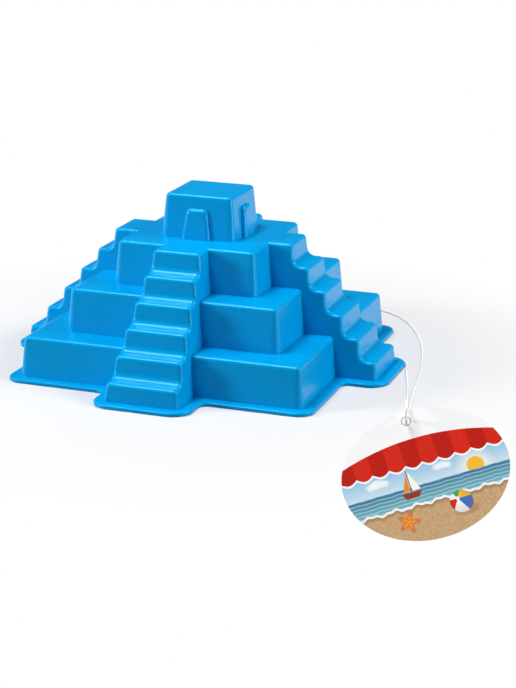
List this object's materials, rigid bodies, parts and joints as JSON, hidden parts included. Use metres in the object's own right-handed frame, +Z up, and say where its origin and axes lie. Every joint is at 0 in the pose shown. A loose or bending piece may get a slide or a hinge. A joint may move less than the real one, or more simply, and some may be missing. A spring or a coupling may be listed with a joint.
{
  "type": "sand mould",
  "caption": "Stepped-pyramid sand mould: a thin plastic shell, open below, with a stair on each side, a small temple and a flat rim, and an oval card tag on a clear loop.",
  "frame": {"origin": "middle of the mould's rim, on the surface that it stands on", "axes": "+Z up, +X and +Y each along a stair, with the tag at the front, towards -Y"},
  "size_m": [0.3526, 0.3825, 0.1056],
  "materials": {
    "shell_plastic": "satin",
    "tag_card": "coated card",
    "loop_filament": "clear",
    "lock_plastic": "clear"
  },
  "bodies": {
    "mould": {"mould_shell": "shell_plastic", "tag_loop": "loop_filament", "loop_lock": "lock_plastic"},
    "tag": {"hang_tag": "tag_card"}
  },
  "joints": [
    {"name": "tag_swing", "type": "hinge", "parent": "mould", "child": "tag", "pos_m": [0.179, -0.208, 0.047], "axis": [-0.9744, -0.225, 0], "range_deg": [0, 50]}
  ]
}
